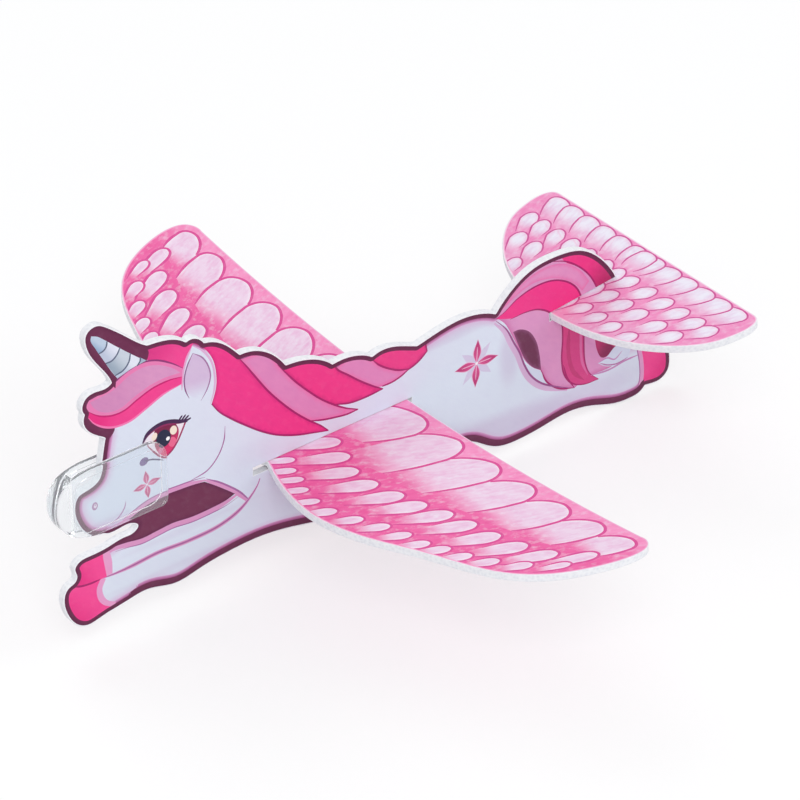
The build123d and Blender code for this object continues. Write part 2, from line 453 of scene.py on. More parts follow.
def printed_sheet(name, loops, print_loop, place, art, materials, folded=False):
    """A foam sheet with the same print on both faces and rounded, bare edges.

    place(points, depth) gives the places in the frame, at that depth below the upper face, and the
    upper face's normals there. A folded sheet carries the print on both sides of its middle line.
    """

    def depth_of(points):
        sign = np.where(inside(print_loop, points), 1, -1)
        return sign * distance(points, print_loop)

    low = print_loop.min(0) - 1
    high = print_loop.max(0) + 1
    insets = [loop - EDGE_ROUND * outward(loop) for loop in loops]
    lines = drawn_lines(art, depth_of, low, high, folded)
    spread = filling(lines, depth_of, low, high, folded)
    flat, triangles = face_triangles(insets, lines, spread)
    colours, washes, seen = painted(art, flat, triangles, depth_of, folded)
    rim, at_rim, edge = sheet_edge(flat, triangles, insets, loops)

    upper, facing = place(flat, 0)
    lower, _ = place(flat, SHEET)
    places, normals = [upper, lower], [facing, -facing]
    for at, normal in edge_rings(place, flat[at_rim], edge):
        places.append(at)
        normals.append(normal)
    index = np.zeros(len(flat), int)
    index[at_rim] = np.arange(len(at_rim))
    first_rings = 2 * len(flat) + len(at_rim) * np.arange(4)
    rings = [rim, *(first + index[rim] for first in first_rings), rim + len(flat)]
    faces = triangles.tolist() + (triangles[:, ::-1] + len(flat)).tolist()
    for ring, following in zip(rings, rings[1:]):
        faces += np.hstack([ring[:, ::-1], following]).tolist()

    mesh = bpy.data.meshes.new(name)
    mesh.from_pydata((np.vstack(places) * MM).tolist(), [], faces)
    for material in materials:
        mesh.materials.append(material)
    slots = np.ones(len(faces), int)
    slots[: 2 * len(triangles)] = 0
    mesh.polygons.foreach_set("material_index", slots)
    mesh.polygons.foreach_set("use_smooth", np.ones(len(faces), bool))
    corners = 3 * len(triangles)
    ink = np.ones((len(mesh.loops), 4))
    ink[: 2 * corners, :3] = np.vstack([colours, colours[:, ::-1]]).reshape(-1, 3)
    wash = np.zeros(len(mesh.loops))
    wash[: 2 * corners] = np.tile(washes.ravel(), 2)
    drawn = np.zeros((len(mesh.vertices), 3))
    drawn[: 2 * len(flat), :2] = np.tile(seen, (2, 1)) * MM
    ink_layer = mesh.color_attributes.new("print", "FLOAT_COLOR", "CORNER")
    ink_layer.data.foreach_set("color", ink.ravel())
    wash_layer = mesh.attributes.new("wash", "FLOAT", "CORNER")
    wash_layer.data.foreach_set("value", wash)
    drawn_layer = mesh.attributes.new("drawn", "FLOAT_VECTOR", "POINT")
    drawn_layer.data.foreach_set("vector", drawn.ravel())
    mesh.normals_split_custom_set_from_vertices(np.vstack(normals).tolist())
    mesh.validate()
    piece = bpy.data.objects.new(name, mesh)
    bpy.context.scene.collection.objects.link(piece)
    return piece


# ---------------------------------------------------------------- the profile sheet's print

BODY_WHITE = "#DDE4F1"
PLUM = "#6B2B4D"
HAIR_LINE = "#A62468"
MAUVE = "#E08CBD"
MAUVE_RIM = "#EA74AE"
SKIN_LINE = "#A8679D"
SKIN_PINK = "#DB97C3"
HOOF = "#F84C96"
HOOF_RIM = "#E9A0CB"
MARGIN = 0.3  # bare foam round the print
OUTLINE_IN = 1.35  # depth of the plum outline's inner side
UNDER_IN = 1.95  # the same along the underside, where the outline is heavier
ROSE_IN = 2.1  # depth to which a rose line follows the outline
ROSE_UNDER_IN = 2.75
BLUSH_IN = 3.9  # depth at which the coat's blush along the outline ends
BLUSH_WIDTH = 2.2

# Soft patches of shade on the white coat: centre, half sizes, strength
COAT_SHADES = [
    ((-43, 2), (8, 6), 0.15),
    ((-38, -6), (6, 8), 0.12),
    ((-60, -6.8), (18, 1), 0.2),
    ((-62, -15.2), (20, 0.9), 0.2),
    ((24, -18), (22, 4), 0.45),
    ((50, -20), (18, 4), 0.35),
    ((29, 1), (3, 8), 0.4),
    ((-2, -15), (22, 4), 0.4),
    ((-80, 3.5), (5, 2), 0.35),
    ((4, 12.5), (22, 1.5), 0.35),
]


def coat(at, deep):
    """The animal's white coat, shaded with lilac and, next to its outline, with rose."""
    colour = np.broadcast_to(rgb(BODY_WHITE), (len(at), 3)).copy()
    shade = rgb("#C6AFCF")
    for centre, size, strength in COAT_SHADES:
        gap = np.sqrt((((at - centre) / size) ** 2).sum(1))
        colour = blend(colour, shade, strength * ease(1.4 - gap))
    return blend(colour, rgb("#D7B4D6"), 0.8 * ease((BLUSH_IN - deep) / BLUSH_WIDTH))


def underside(start, end):
    """The part of the sheet along its lower edge, between two distances along it."""
    return shape(
        [(start + 9, -16.6), (-66, -13), (-40, -12.4), (-10, -13), (12, -13.5),
         (26, -17), (45, -17.5), (end - 6, -20.5), (end, -22)],
        [(end, -30), (0, -32), (start, -22.5)],
    )


def draw_legs(art):
    """Forelegs, hooves and the dark field between the jaw and the legs."""
    field = shape(
        [(-79.5, 0.9), (-77, 1.8), (-74.5, 2.7), (-70.5, 3.9), (-67, 4.2), (-62, 3.9), (-58.5, 3.6),
         (-55.4, 3.1)],
        [(-52.5, 0.8), (-50, -1.3), (-47.5, -3.5)],
        [(-50, -4.2), (-54, -4.5), (-59, -4.5), (-64, -3.9), (-68, -4.1), (-72, -4.3), (-76, -3.6),
         (-79, -3.3), (-84, -3.6)],
        [(-84, 0.2)],
    )
    jaw = [(-80.5, 1.2), (-77, 2.2), (-74.5, 3.1), (-70.5, 4.3), (-67, 4.6), (-62, 4.3), (-58.5, 4),
           (-55.2, 3.4)]
    art.line(jaw, 1.5, SKIN_PINK)
    art.line([(x, z + 0.75) for x, z in jaw[1:]], 0.3, SKIN_LINE)
    knee = [(-82, -4.1), (-79, -3.8), (-76, -4.1), (-72, -4.8), (-68, -4.6), (-64, -4.4), (-59, -5),
            (-54, -5), (-50, -4.7), (-46.4, -3.8)]
    art.line(knee, 1.7, SKIN_PINK)
    art.line([(x, z - 0.85) for x, z in knee[1:]], 0.26, SKIN_LINE)
    chest = [(-55.3, 3.4), (-52, 1.1), (-49.4, -1.1), (-46.6, -3.8), (-44.2, -6.9)]
    art.line(chest, 1.2, SKIN_PINK, end=0.4)
    art.line([(x + 0.35, z + 0.25) for x, z in chest], 0.42, SKIN_LINE, end=0.5)
    art.fill(field, rimmed("#62244A", "#71304F", field, 0.8))
    divider = [(-83.2, -9.9), (-79, -10.2), (-75, -10.2), (-68, -9.8), (-60, -10.3), (-52, -10),
               (-46.5, -8.3), (-43, -5.7), (-41.3, -3.6), (-40.8, -2.4)]
    art.line(divider, 1.15, "#D89AC5")
    art.line(divider, 0.42, "#A85C96")
    art.line([(-81.6, -3.4), (-80.9, -6.4), (-80.9, -9.8)], 2, HOOF_RIM, start=1, end=1)
    art.line([(-82.5, -10), (-83.6, -12.4), (-83.2, -15.1), (-81.9, -17.1), (-79.8, -18.4)],
             1.9, HOOF_RIM, start=1, end=1)
    upper_hoof = shape(
        [(-82.1, -4.5), (-81.8, -7), (-81.4, -10)],
        [(-85.5, -10.1), (-92, -9.8)],
        [(-93, -5), (-92, -1), (-81.9, -1.5)],
    )
    lower_hoof = shape(
        [(-84.1, -12.2), (-83.8, -15), (-82.5, -17), (-80.4, -18.4)],
        [(-82, -21.5), (-95, -21.5)],
        [(-95, -8), (-90.3, -8.6), (-87.3, -9.7), (-83, -9.9)],
    )
    art.fill(upper_hoof, fade(HOOF, "#EA3384", (-84, -4), (-90, -7)))
    art.fill(lower_hoof, fade(HOOF, "#EA3384", (-86, -12), (-92, -17)))
    art.line([(-90.6, -8.2), (-88.4, -9.4), (-86, -9.9), (-83, -10)], 0.5, HAIR_LINE)


def draw_eye(art):
    """An eye of plain shapes: lid, white, iris, pupil, highlights and lashes."""
    opening = shape(
        [(-68.6, 21.3), (-66, 22.1), (-63.3, 21.6), (-61.2, 20.8), (-59.9, 20.3)],
        [(-61, 18.2), (-62.3, 16.1), (-63.7, 14.6), (-65.2, 14), (-66.9, 14.9), (-68.6, 16.9),
         (-70.5, 19.6)],
    )
    art.fill(opening, plain("#F1E6EE"), 0.1)
    iris = shape(
        [(-65, 22), (-62.4, 21.2)],
        [(-61.6, 19.3), (-61.9, 17.2), (-63.3, 15.1), (-65.2, 14.2), (-67, 15.6), (-68.1, 18.2),
         (-67.7, 21.6)],
    )
    art.fill(iris, fade("#DE3A70", "#7A2148", (-64.2, 15.4), (-65.6, 20.4)), 0.3)
    art.fill(ellipse((-63.3, 16.8), 1, 1.3, 20), plain("#EA6A90"), 0.2)
    art.fill(ellipse((-66.6, 16.3), 0.6, 0.9, -25), plain("#D9769C"), 0.2)
    art.fill(ellipse((-65.5, 18.6), 1.85, 2.2, 14), plain("#252A44"), 0.1)
    art.fill(ellipse((-67.8, 20), 0.7, 0.95, -20), plain("#F5E6D4"), 0.1)
    art.fill(ellipse((-62.9, 19.6), 0.9, 1.15, 15), plain("#F5E6D4"), 0.1)
    art.fill(ellipse((-64.4, 18.1), 0.5, 0.5), plain("#FFFFFF"), 0)
    art.line([(-70.3, 19.3), (-68.5, 16.8), (-66.8, 14.8), (-65.2, 13.9), (-63.6, 14.6), (-62.1, 16.2),
              (-60.9, 18.2), (-59.8, 20.3)], 0.46, "#A02C5E", start=0.2, end=1)
    art.line([(-70.9, 19.2), (-69.6, 20.9), (-67.6, 21.7), (-65, 21.8), (-62.8, 21.2), (-60.8, 20.5)],
             0.5, "#8E2A5C")
    art.line([(-71, 19.3), (-69.7, 21.3), (-67.6, 22.3), (-65.3, 22.5), (-63, 21.9), (-61, 21),
              (-59.2, 20.5)], 0.95, "#44264E", start=0.25, end=0.8)
    for start, tip in (((-61.6, 21.2), (-60.5, 22.4)), ((-60.9, 21), (-59.6, 22.2)),
                       ((-60.3, 20.8), (-58.8, 21.7)), ((-60.1, 20.5), (-58.2, 20.8))):
        art.line([start, tip], 0.5, "#44264E", start=1, end=0.2)
    art.fill(ellipse((-70.9, 15.2), 1.15, 1, 10), plain("#755791"), 0.2)
    art.line([(-70.6, 15.2), (-69, 14.9), (-67.6, 14.3), (-66, 13.5)], 0.4, "#574A72", start=1)


def draw_face(art):
    """Muzzle, cheek, eye and ear."""
    art.line([(-49.6, 15), (-50, 11.5), (-51.6, 8.2), (-54.5, 5.7), (-59, 4.9)], 0.34, SKIN_LINE)
    art.line([(-80.1, 3.2), (-78.6, 3.6), (-77.2, 4.6), (-76.3, 5.8), (-75.9, 7.2)], 0.36, "#B27CAE")
    art.fill(ellipse((-83.7, 9.4), 0.75, 1), plain("#AE7FAA"))
    art.fill(ellipse((-83.6, 9.4), 0.38, 0.55), plain("#E9DDEB"))
    art.fill(ellipse((-83.6, 9.6), 0.15, 0.2), plain("#AE7FAA"))
    star(art, (-70.4, 9.1), 3.5, 0.68, 4)
    draw_eye(art)
    ear = shape(
        [(-60, 25), (-60.4, 29), (-60.2, 32.4), (-59.2, 35.8), (-57.5, 38.6)],
        [(-54.7, 36.3), (-52.5, 32.6), (-51.7, 28.5), (-51.9, 25.5), (-53, 22.2), (-58, 20)],
    )
    art.fill(ear, plain(BODY_WHITE), 0.1)
    inner = shape(
        [(-58.7, 34.1), (-59.6, 31), (-59.4, 28.4), (-57.8, 25.8), (-55.4, 24.2)],
        [(-54, 26.4), (-53.1, 29), (-53.5, 31.6), (-55, 34.5), (-57.3, 36.5)],
    )
    art.fill(inner, fade(BODY_WHITE, "#D5BFDC", (-57, 24.5), (-56.5, 30)))
    art.line([(-57.3, 36.6), (-58.8, 34.1), (-59.7, 31), (-59.5, 28.2), (-58.6, 25.8)], 0.34, "#8E5C8C")
    art.line([(-57.3, 36.6), (-54.9, 34.5), (-53.4, 31.6), (-53, 29), (-53.9, 26.3), (-55.6, 24)],
             0.34, "#A474A2")
    art.line([(-60.4, 28.6), (-60, 32.6), (-58.9, 36), (-57.4, 38.5)], 0.6, "#E5A6CF")
    art.line([(-57.4, 38.5), (-54.8, 36.2), (-52.6, 32.5), (-51.9, 28.5), (-52.1, 25.5), (-53.2, 22.2)],
             0.5, "#DDB4D6")


def draw_horn(art):
    """The ringed horn in its dark outline."""
    around = shape(
        [(-82, 43), (-86, 50), (-85, 55), (-79, 54), (-70, 47), (-68.3, 41.2)],
        [(-69, 39.6), (-72.5, 39.2), (-76.4, 38.2), (-77, 36)],
    )
    art.fill(around, plain(PLUM))
    horn = shape(
        [(-77.9, 40.7), (-79.6, 44), (-81.3, 47.3), (-82.5, 49.9), (-82.3, 50.9)],
        [(-80.8, 50.2), (-79.2, 48.8), (-76.6, 46.3), (-73.6, 43.5), (-70.8, 41), (-69, 39.6)],
        [(-72.5, 39.2), (-76.4, 38.2)],
    )
    art.fill(horn, fade("#BFC9DB", "#E3E8F3", (-78.3, 43.6), (-76.2, 45.2)))
    tip_ring = shape(
        [(-81.3, 47.3), (-82.5, 49.9), (-82.3, 50.9)],
        [(-80.8, 50.2), (-78.5, 48.1)],
        [(-78.8, 46.9), (-79.6, 46.2), (-80.7, 46)],
    )
    art.fill(tip_ring, fade("#93AECB", "#C0D1E2", (-81.6, 47.3), (-80.2, 48.6)))
    low_ring = shape(
        [(-79.1, 43)],
        [(-77.6, 43), (-76.3, 43.9), (-75.5, 45.3)],
        [(-73, 42.9)],
        [(-73.4, 41), (-74.8, 39.6), (-76.9, 39.1)],
    )
    art.fill(low_ring, fade("#99AAB9", "#CBD5DF", (-77.6, 40.8), (-74.6, 43)))
    base_ring = shape(
        [(-70.6, 40.1), (-70.5, 40.9)],
        [(-69, 39.6)],
        [(-71.4, 39.3)],
    )
    art.fill(base_ring, plain("#A9BACB"))
    for line in (
        [(-80.7, 46), (-79.6, 46.2), (-78.8, 46.9), (-78.5, 48.2)],
        [(-79.1, 43), (-77.6, 43), (-76.3, 43.9), (-75.4, 45.4)],
        [(-76.9, 39.1), (-74.8, 39.6), (-73.4, 41), (-72.9, 43)],
        [(-71.4, 39.2), (-70.6, 40.1), (-70.5, 41)],
    ):
        art.line(line, 0.4, "#5E677F", start=0.7, end=0.7)


def draw_forelock(art):
    """The hair on the forehead."""
    dark = shape(
        [(-77.6, 26.4), (-84.2, 33.5), (-78, 37.6), (-76.5, 38.6)],
        [(-80, 40), (-88, 38), (-88, 28), (-79.9, 23.5)],
    )
    art.fill(dark, plain(PLUM))
    crown = shape(
        [(-66.6, 38.4), (-62.6, 35.8), (-60, 33.6)],
        [(-59, 36.4), (-57, 39)],
        [(-60, 42), (-66, 44), (-70.4, 42.2), (-69.3, 39.9)],
    )
    art.fill(crown, fade("#F24893", "#DE3986", (-61, 36), (-67, 42.5)))
    low_lock = shape(
        [(-83.6, 30.8), (-81, 28), (-77.6, 26.6), (-73.6, 26.5), (-69.5, 27.9), (-65, 29.6),
         (-60.4, 30.2)],
        [(-60.2, 32.2)],
        [(-63, 33), (-70, 33), (-77, 31), (-84.6, 33.6)],
    )
    art.fill(low_lock, fade("#E92F82", "#F2428F", (-81, 31), (-76, 28)))
    art.line([(-84, 31.6), (-82.6, 29.6), (-80.2, 27.7), (-77.4, 26.6), (-73.6, 26.5), (-69.5, 27.9),
              (-65, 29.6), (-60.4, 30.2)], 0.5, "#F47BB2")
    lower_side = [(-84.2, 33.6), (-81.4, 31.2), (-78, 29.9), (-75, 29.9), (-71.6, 31.2), (-67.6, 32.4),
                  (-63.4, 32.6), (-60.2, 32)]
    upper_side = [(-62.6, 36), (-66.5, 38.4), (-70, 39.3), (-74, 38.7), (-77.6, 37.2), (-80.5, 36.2),
                  (-84.6, 35.6)]
    art.fill(shape(lower_side, [(-60, 33.9)], upper_side), plain("#E87FB4"))
    middle = shape(
        [(-82.2, 33), (-79.4, 31), (-76, 30.6), (-72.6, 31.9), (-68.6, 33.2)],
        [(-64.6, 33.5), (-60.6, 33.1)],
        [(-62.4, 34.9), (-66, 37.2), (-69.6, 38.2), (-73.4, 37.7), (-77.2, 35.9), (-80.4, 35.4),
         (-83.4, 35.2)],
    )
    art.fill(middle, fade("#D48CBA", "#DC9AC4", (-80, 33), (-64, 35)), 0.5)
    below = [(x, z - 0.2) for x, z in lower_side[1:-1]]
    art.line([(-84.3, 33.4), *below, (-60.2, 31.9)], 0.42, "#C8206F")
    above = [(x, z + 0.2) for x, z in upper_side[::-1]]
    art.line([*above, (-60, 34)], 0.42, "#8E3A74")


def draw_mane(art):
    """Five overlapping locks, each in front of the one behind it."""
    locks = [
        (
            [(-8, 13), (-5, 10.9), (-2.5, 9.6), (0, 8.7)],
            [(2.8, 9.7), (5.4, 11.5)],
            [(4, 15.5), (-4, 18.5), (-11, 18), (-9.9, 15.2)],
            "#C92D76", "#EC4089", 0.7,
        ),
        (
            [(-16.5, 14), (-12.5, 10.5), (-9.2, 8), (-7.2, 7.4)],
            [(-4.4, 7.4), (-2, 7.9), (0.3, 8.9)],
            [(-2.5, 9.7), (-5.5, 11.4), (-8, 13.3), (-9.8, 15.3), (-14, 19), (-20.4, 17.1)],
            MAUVE_RIM, MAUVE, 1.1,
        ),
        (
            [(-33, 21.4), (-30.4, 18), (-26.5, 13.5), (-22.6, 9.8), (-20, 8)],
            [(-16, 6.8), (-12, 6.5), (-7, 6.7)],
            [(-9.4, 8.3), (-13, 11.1), (-16.6, 14.3), (-19.6, 17.1), (-21, 20.5), (-30, 26),
             (-34.6, 23.2)],
            "#D02C79", "#EF3B89", 0.7,
        ),
        (
            [(-44.2, 28.3), (-41.6, 24.3), (-38, 18.8), (-34.2, 13.9), (-30.4, 9.7), (-26.8, 6.6)],
            [(-23.5, 5.5), (-20, 4.7), (-17, 4.2), (-13.9, 4.2)],
            [(-17.2, 5.9), (-20.4, 8.1), (-24, 11.1), (-27.4, 14.6), (-30.5, 18.1), (-33.2, 21.6),
             (-35.4, 24.6), (-38, 29), (-45.6, 30)],
            MAUVE_RIM, MAUVE, 1.1,
        ),
        (
            [(-54.4, 36.6), (-52.2, 32.7), (-51.5, 28.5), (-51.7, 25.5), (-52.9, 22)],
            [(-51, 19.2), (-48, 16.2), (-44, 12.7), (-40, 9.5), (-36, 6.9), (-31, 4.7), (-26, 3.2),
             (-22.1, 2.1)],
            [(-24.2, 4.3), (-27.4, 7), (-31, 10.5), (-34.6, 14.6), (-38.1, 19.1), (-41.3, 24),
             (-43.8, 28), (-46, 31.2), (-50, 39), (-57.9, 39.6)],
            "#D92E7E", "#F03B8B", 0.7,
        ),
    ]
    for near_side, tip_side, far_side, rim, middle, reach in locks:
        outline = shape(near_side, tip_side, far_side)
        art.fill(outline, rimmed(rim, middle, outline, reach), 0.4)
        art.line([near_side[-1], *tip_side], 0.45, HAIR_LINE, start=0.6, end=0.6)
        art.line([tip_side[-1], *far_side[:-2]], 0.45, HAIR_LINE, start=0.6, end=0.3)


def star_arms(turn):
    """The directions along and across each of a star's four arms, turned by that many degrees."""
    for k in range(4):
        angle = math.radians(90 * k + turn)
        out = np.array([math.cos(angle), math.sin(angle)])
        yield out, np.array([-out[1], out[0]])


def star(art, centre, arm, half_width, turn):
    """A star of four leaf-shaped arms, each with a pale rim and vein."""
    for out, sideways in star_arms(turn):
        across = sideways * half_width
        start, tip = np.array(centre), centre + arm * out
        belly = centre + 0.45 * arm * out
        end = tip + 0.2 * out
        rim = shape([belly + 1.22 * across, end], [belly - 1.22 * across, start])
        art.fill(rim, plain("#E9B3D2"), 0.2)
        leaf = shape([belly + across, tip], [belly - across, start])
        art.fill(leaf, fade("#DC5591", "#BC3673", centre, tip), 0.3)
        art.line([start, belly, centre + 0.7 * arm * out], 0.22 * half_width, "#F0BBD6")
    art.fill(ellipse(centre, 0.065 * arm, 0.065 * arm), plain("#F6EEF6"), 0)


def draw_flank(art):
    """The star on the flank, with a paler star behind it."""
    centre = (19.5, 2.4)
    for out, sideways in star_arms(47):
        across = sideways * 0.95
        belly = centre + 2.6 * out
        art.fill(shape([belly + across, centre + 5.8 * out], [belly - across, centre]), plain("#D6CBE3"))
    star(art, centre, 6.2, 1, -3)


def draw_tail_hair(art):
    """Locks of the tail, which sweep over the tailplane's slot and down to the hind leg."""
    leg_line = [(25, 11.4), (28, 8), (30.2, 3.7), (32, 0.2), (33.6, -4), (35.6, -7.6), (38.4, -10.6),
                (42, -13), (47, -15.6)]
    art.line([(x - 0.5, z - 0.4) for x, z in leg_line], 1.7, "#D8B2D4")
    whole = shape(
        [(27.6, 9.6), (29.8, 5.4), (31.6, 1.6), (33.6, -2.6), (35.9, -5.4), (38.3, -7.2)],
        [(40, -11), (43.6, -14.5), (48.7, -16.3)],
        [(53, -15), (61, -14.6), (64, -9)],
        [(66, 4), (60, 18), (44, 25), (30, 21), (24.6, 12.6)],
    )
    art.fill(whole, rimmed("#D276AC", "#DE98C4", whole, 1.5), 0.4)
    outer = shape(
        [(44.6, 19.4), (49.3, 16), (52.6, 12.2), (54.6, 8.4), (56, 4), (56, -1), (54.6, -4.4)],
        [(57.6, -7.2), (61, -10.1), (65, -9)],
        [(67, 4), (60, 20), (42.5, 24)],
    )
    art.fill(outer, fade("#EE3886", "#B82E68", (51, 17), (57.5, 8)))
    art.line([(40.4, 20.9), (44.8, 19.3), (49.3, 16), (52.6, 12.2), (54.6, 8.4), (56, 4), (56, -1),
              (54.4, -4.6)], 0.42, HAIR_LINE)
    crest = shape(
        [(29.4, 16.4), (34, 19), (40, 19.9), (45, 18.6), (49.4, 15.2), (52.2, 11.2)],
        [(50.2, 9.4)],
        [(48, 12), (44.6, 14.6), (40, 16.6), (35.4, 17.1), (31, 15.9), (26, 13.4)],
    )
    art.fill(crest, rimmed("#E779B0", "#E496C3", crest, 0.9), 0.4)
    rear_side = [(27.6, 12.9), (31, 14.8), (36, 16), (41, 15.7), (45.3, 13.8), (48.5, 10.8), (50.2, 7),
                 (51.2, 2), (51.1, -4), (51.7, -10.5), (53.1, -14), (56, -16.9)]
    front_side = [(51.6, -16.5), (48, -14.8), (45.5, -11.4), (44.6, -7), (44.7, -1), (44.2, 3.2),
                  (41.6, 6.5)]
    root_side = [(39.4, 8.4), (36.6, 9.8), (33.4, 10.3), (30, 10.2), (25, 11.9)]
    inner = shape(rear_side, front_side, root_side)
    art.fill(inner, fade("#F23A8A", "#D54585", (44, 8), (48, -4)))
    art.line([root_side[-1], *rear_side], 0.45, HAIR_LINE)
    art.line([rear_side[-1], *front_side, *root_side[:3], (29, 10.2)], 0.45, HAIR_LINE)
    art.line([(50.3, 3), (50.2, -4), (50.8, -10), (52.6, -14.3)], 0.7, "#DD6BA4", start=0.2, end=0.2)
    art.line([(46.6, 1), (46.6, -6), (48.2, -11.6), (51.6, -15.4)], 1.1, "#C43C76", start=0.1, end=0.1)
    # Painted shadow: a darker strip just under the tailplane's front edge, where the tailplane shades
    # the tail hair
    shade = shape(
        [(57, -7), (60.6, -10)],
        [(58.2, -11.6), (56.6, -11.2), (55.2, -8.6), (54.4, -5)],
    )
    art.fill(shade, fade("#C0346F", "#8A2755", (54.8, -6), (58.4, -10.4)))
    dark = shape(
        [(31.9, 6.4), (34.6, 4.8), (36.7, 1.6), (37.9, -2.6), (38.5, -7.2)],
        [(35.9, -5.3), (33.7, -2.4), (31.9, 1.6), (30, 6.5)],
    )
    art.fill(dark, rimmed("#8B4A72", "#6E3050", dark, 0.7))
    pocket = shape(
        [(35.9, -5.6), (38.3, -7.4), (39.8, -10.4), (42.4, -13.2)],
        [(38.8, -11), (36, -7.8), (34.4, -5.6), (33.4, -3.2)],
    )
    art.fill(pocket, plain("#D6DBEC"))
    art.line([(38.5, -7.2), (40.2, -11), (43.8, -14.4), (48.7, -16.3)], 0.45, HAIR_LINE)
    art.line(leg_line, 0.5, "#9A5089")
    art.line([(48.7, -16.3), (46.4, -12.5), (45.1, -8.5)], 0.4, HAIR_LINE)
    tip = shape(
        [(58.2, -11.8), (60.6, -10), (63.4, -9.6), (65.6, -11.6), (64.9, -14.7)],
        [(61.5, -15.2), (58.2, -14.3), (55.6, -12.4)],
    )
    art.fill(tip, plain("#D9E0F0"))
    art.line([(55.8, -12.4), (58.4, -12.1), (60.8, -13.4), (63, -12)], 0.36, "#C98FBE")
    art.line([(56.2, -12.6), (58.6, -14.1), (61.6, -14.9), (64.8, -14.5)], 0.36, "#B877A8")
    art.line([(53.6, -14.9), (59, -15.6), (64, -15.1), (68.6, -15.2)], 0.5, "#C78ABB")


def draw_hind_hoof(art):
    """The hoof of the hind leg."""
    hoof = shape(
        [(68.9, -13.5), (69.7, -17.5), (70, -21.5), (69.4, -26.5)],
        [(80, -27), (81, -12), (68.4, -9)],
    )
    edge = [(68, -10), (68.5, -13.6), (69.3, -17.5), (69.6, -21.5), (68.9, -25.6)]
    art.line(edge, 1.6, "#E3A2CC", start=1, end=1)
    art.line([(x - 0.85, z) for x, z in edge], 0.3, "#B16FA4", start=1, end=1)
    art.fill(hoof, fade(HOOF, "#E93384", (72, -17), (78, -21)))


def profile_print():
    """The whole picture on the profile sheet."""
    art = Artwork(coat, 0.14)
    under = underside(-84, 70)
    art.band(ROSE_IN, by_depth("#A9538A", "#D79FCB", OUTLINE_IN, ROSE_IN))
    art.band(ROSE_UNDER_IN, by_depth("#A9538A", "#D79FCB", UNDER_IN, ROSE_UNDER_IN), within=under)
    draw_legs(art)
    draw_face(art)
    draw_flank(art)
    draw_tail_hair(art)
    draw_hind_hoof(art)
    draw_mane(art)
    draw_forelock(art)
    draw_horn(art)
    art.band(UNDER_IN, plain(PLUM), within=under)
    art.band(OUTLINE_IN, by_depth("#5F2344", PLUM, MARGIN, OUTLINE_IN))
    art.band(MARGIN, plain("#F4F3F8"), 0)
    return art


# ---------------------------------------------------------------- the wing's and tailplane's prints

FEATHER_LINE = "#DC4F98"
# A feather's rim and middle, and between which shares of a long one's length it turns pale
WING_PALE = ("#F8ECF6", "#EFD6EA", (-0.12, 0.44))
TAIL_PALE = ("#F3CFE5", "#EEEAF6", (-0.1, 0.8))


def feathered(ground, pale, outline, root, tip, start, full):
    """A feather's ink: the ground's at its root, then pale, from its rim to its middle."""
    run = np.subtract(tip, root)
    run = run / np.linalg.norm(run)

    def ink(at, deep):
        share = ease(((at - root) @ run - start) / (full - start))
        rim = ease(distance(at, outline) / 1.1)[:, None]
        body = rgb(pale[0]) + (rgb(pale[1]) - rgb(pale[0])) * rim
        return blend(ground(at, deep), body, share)

    return ink


def long_side(inner, shoulder, tip, notch):
    """The drawn side of a long feather: along its outer side, round its tip and back inwards."""
    inner, shoulder, tip, notch = (np.array(p, float) for p in (inner, shoulder, tip, notch))
    reach = tip[0] - shoulder[0]
    rise = shoulder[1] - tip[1]
    drop = tip - notch
    return [
        inner,
        inner + 0.24 * (shoulder - inner) + (0, 0.12 * rise),
        inner + 0.52 * (shoulder - inner) + (0, 0.17 * rise),
        inner + 0.79 * (shoulder - inner) + (0, 0.1 * rise),
        shoulder,
        shoulder + (0.5 * reach, -0.08 * rise),
        shoulder + (0.85 * reach, -0.42 * rise),
        tip,
        tip - 0.3 * drop + (0.19 * drop[0], 0),
        tip - 0.55 * drop + (0.24 * drop[0], 0),
        tip - 0.8 * drop + (0.17 * drop[0], 0),
        notch,
    ]


def long_feather(art, ground, pale, corners, width, code):
    """A feather of the rearmost row. The next one inwards covers its inner side."""
    inner, shoulder, tip, notch = corners
    side = long_side(*corners)
    drawn = smooth(side)
    outline = np.vstack([drawn, [(inner[0] - 3, notch[1] - 5)]])
    rim = np.vstack([drawn, drawn[::-1]])
    root = np.array(inner) + (-1, -0.5 * (inner[1] - notch[1]))
    length = tip[0] - inner[0]
    start, full = (length * share for share in pale[2])
    art.fill(outline, feathered(ground, pale, rim, root, tip, start, full), 1)
    art.line(side, width, code, start=0.4, end=0.8)


def short_feather(art, ground, pale, tip, length, width, angle, line, code):
    """A feather of the other rows: a long leaf with a round tip, drawn with one pen line."""
    out = np.array([math.cos(math.radians(angle)), math.sin(math.radians(angle))])
    across = np.array([-out[1], out[0]])
    tip = np.array(tip, float)
    half = [(-length, 0.2), (-0.72 * length, 0.36), (-0.45 * length, 0.48), (-0.72 * width, 0.5),
            (-0.2 * width, 0.33)]
    outer = [tip + u * out + v * width * across for u, v in half]
    inner = [tip + u * out - v * width * across for u, v in half[::-1]]
    outline = np.vstack([smooth([*outer, tip, *inner]), [tip - 1.1 * length * out]])
    root = tip - length * out
    art.fill(outline, feathered(ground, pale, outline, root, tip, 0.02 * length, 0.55 * length), 1)
    art.line([*outer, tip, *inner[:-1]], line, code, start=0.4, end=0.3)


